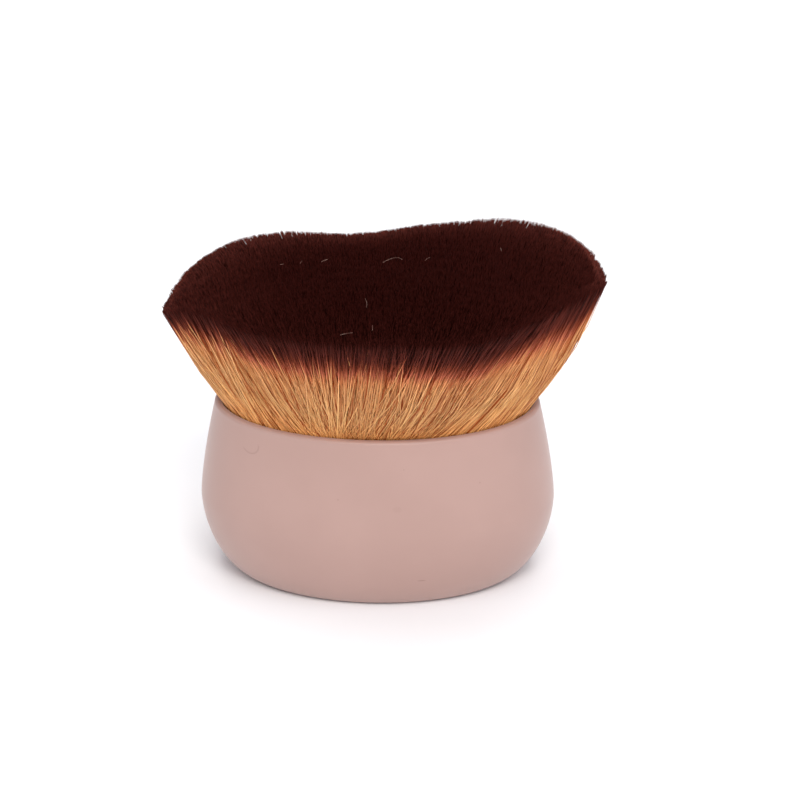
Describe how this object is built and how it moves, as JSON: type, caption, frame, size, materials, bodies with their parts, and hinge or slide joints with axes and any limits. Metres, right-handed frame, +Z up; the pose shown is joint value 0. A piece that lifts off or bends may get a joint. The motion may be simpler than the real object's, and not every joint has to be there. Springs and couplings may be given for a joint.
{
  "type": "makeup brush",
  "caption": "Short oval kabuki-style makeup brush with a flared, wave-cut head of soft two-tone filaments on a low rounded handle that stands on its flat base.",
  "frame": {"origin": "centre of the handle's flat base", "axes": "+Z up out of the handle through the bristles, +X along the brush's long side towards the taller end of the head, +Y towards the side of the head that is drawn in at its waist"},
  "size_m": [0.0863, 0.0642, 0.0654],
  "materials": {
    "handle": "satin soft-touch",
    "filament": "soft synthetic filament, golden with dip-dyed dark brown tips",
    "cup": "plain drawn",
    "adhesive": "cured clear adhesive"
  },
  "bodies": {
    "root": {"handle_body": "handle", "ferrule_cup": "cup", "cup_adhesive": "adhesive", "bristles_core": "filament", "bristles_back_right": "filament", "bristles_back": "filament", "bristles_back_left": "filament", "bristles_front_left": "filament", "bristles_front": "filament", "bristles_front_right": "filament"}
  },
  "joints": []
}
